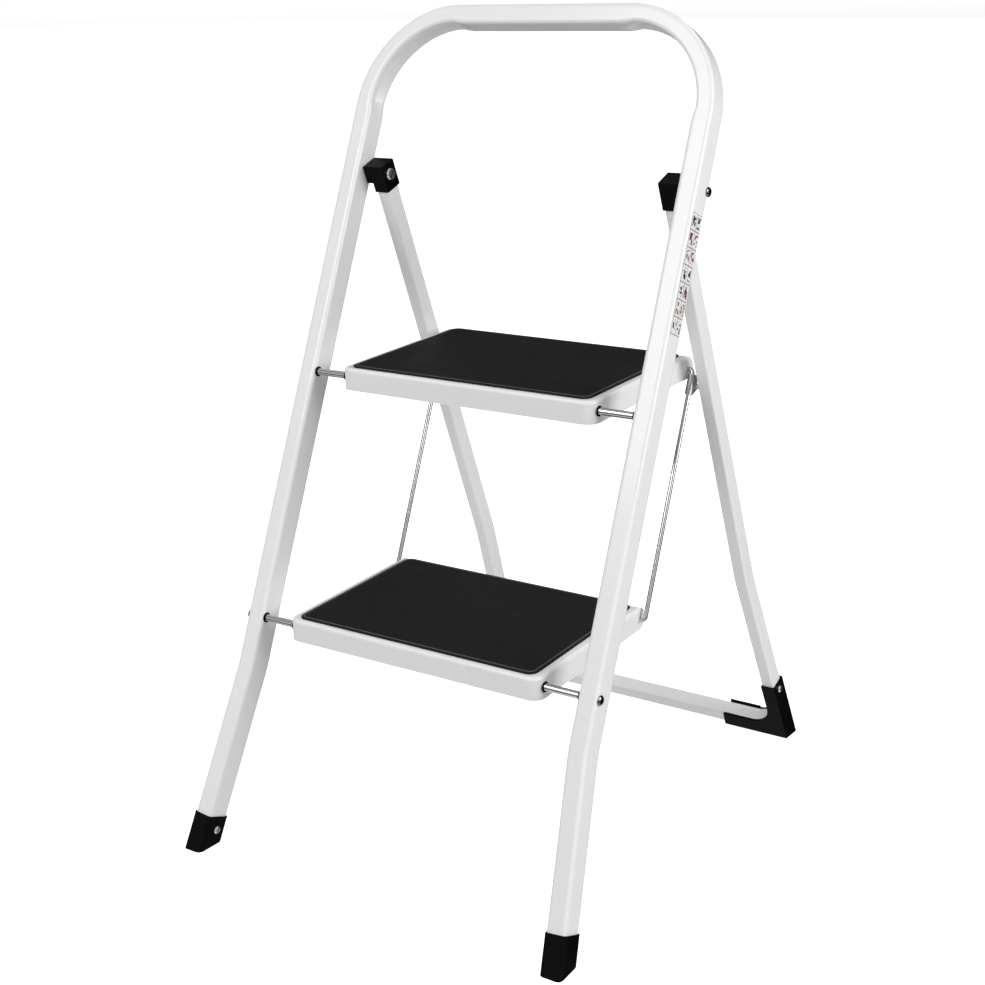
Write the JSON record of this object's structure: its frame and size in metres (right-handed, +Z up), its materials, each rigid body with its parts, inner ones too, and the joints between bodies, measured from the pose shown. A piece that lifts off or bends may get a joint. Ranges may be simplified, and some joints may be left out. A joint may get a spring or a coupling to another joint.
{
  "type": "step stool",
  "caption": "Folding step stool of bent white tube with a hand rail loop, black rubber treads on pressed trays, and a rear U frame on top pivots.",
  "frame": {"origin": "on the floor at the middle of the stool's footprint, opened for use", "axes": "+Z up; +X to the right of a person who faces the steps; -Y towards that person"},
  "size_m": [0.4414, 0.5642, 0.809],
  "materials": {
    "white_coat": "smooth white powder coat with a soft gloss",
    "black_plastic": "moulded black plastic, lightly grained satin",
    "black_rubber": "black ribbed rubber with a raised rim",
    "bright_rod": "bright zinc plated drawn rod",
    "plated_fastener": "bright zinc plated fastener",
    "zinc_sheet": "zinc plated folded sheet, slightly dull",
    "printed_sticker": "thin pale sticker with plain panels and no lettering"
  },
  "bodies": {
    "stool_front": {"front_frame": "white_coat", "front_foot_left": "black_plastic", "front_foot_right": "black_plastic", "front_foot_screws": "plated_fastener", "lower_axle": "bright_rod", "upper_axle": "bright_rod", "axle_screws": "plated_fastener", "axle_clips": "plated_fastener", "pivot_screws": "plated_fastener", "pivot_sleeve_nuts": "plated_fastener", "instruction_label": "printed_sticker"},
    "rear": {"rear_frame": "white_coat", "rear_foot_left": "black_plastic", "rear_foot_right": "black_plastic", "rear_foot_rivets": "plated_fastener", "pivot_cap_left": "black_plastic", "pivot_cap_right": "black_plastic"},
    "lower_step": {"lower_step_tray": "white_coat", "lower_step_mat": "black_rubber"},
    "upper_step": {"upper_step_tray": "white_coat", "upper_step_mat": "black_rubber"},
    "link_left": {"link_wire_left": "bright_rod", "link_push_nuts_left": "plated_fastener"},
    "link_right": {"link_wire_right": "bright_rod", "link_push_nuts_right": "plated_fastener"},
    "guide_left": {"wire_guide_left": "zinc_sheet", "guide_rivet_left": "plated_fastener"},
    "guide_right": {"wire_guide_right": "zinc_sheet", "guide_rivet_right": "plated_fastener"}
  },
  "joints": [
    {"name": "rear_fold", "type": "hinge", "parent": "stool_front", "child": "rear", "pos_m": [0, 0.01662, 0.64264], "axis": [-1, 0, 0], "range_deg": [0, 43.95]},
    {"name": "upper_step_fold", "type": "hinge", "parent": "stool_front", "child": "upper_step", "pos_m": [0, -0.08299, 0.45261], "axis": [1, 0, 0], "range_deg": [0, 62.97]},
    {"name": "lower_step_fold", "type": "hinge", "parent": "stool_front", "child": "lower_step", "pos_m": [0, -0.1812, 0.21955], "axis": [1, 0, 0], "range_deg": [0, 62.97]},
    {"name": "link_swing_left", "type": "hinge", "parent": "upper_step", "child": "link_left", "pos_m": [-0.1511, 0.09288, 0.45623], "axis": [-1, 0, 0], "range_deg": [0, 62.97]},
    {"name": "guide_slide_left", "type": "slide", "parent": "link_left", "child": "guide_left", "axis": [0, -0.3883, -0.9215], "range_m": [0, 0.16306]},
    {"name": "link_swing_right", "type": "hinge", "parent": "upper_step", "child": "link_right", "pos_m": [0.1511, 0.09288, 0.45623], "axis": [-1, 0, 0], "range_deg": [0, 62.97]},
    {"name": "guide_slide_right", "type": "slide", "parent": "link_right", "child": "guide_right", "axis": [0, -0.3883, -0.9215], "range_m": [0, 0.16306]}
  ],
  "couplings": [
    {"joint": "upper_step_fold", "follows": "rear_fold", "ratio": 1.4329},
    {"joint": "lower_step_fold", "follows": "rear_fold", "ratio": 1.4329},
    {"joint": "link_swing_left", "follows": "rear_fold", "ratio": 1.4329},
    {"joint": "guide_slide_left", "follows": "rear_fold", "m_per_rad": 0.21257},
    {"joint": "link_swing_right", "follows": "rear_fold", "ratio": 1.4329},
    {"joint": "guide_slide_right", "follows": "rear_fold", "m_per_rad": 0.21257}
  ]
}
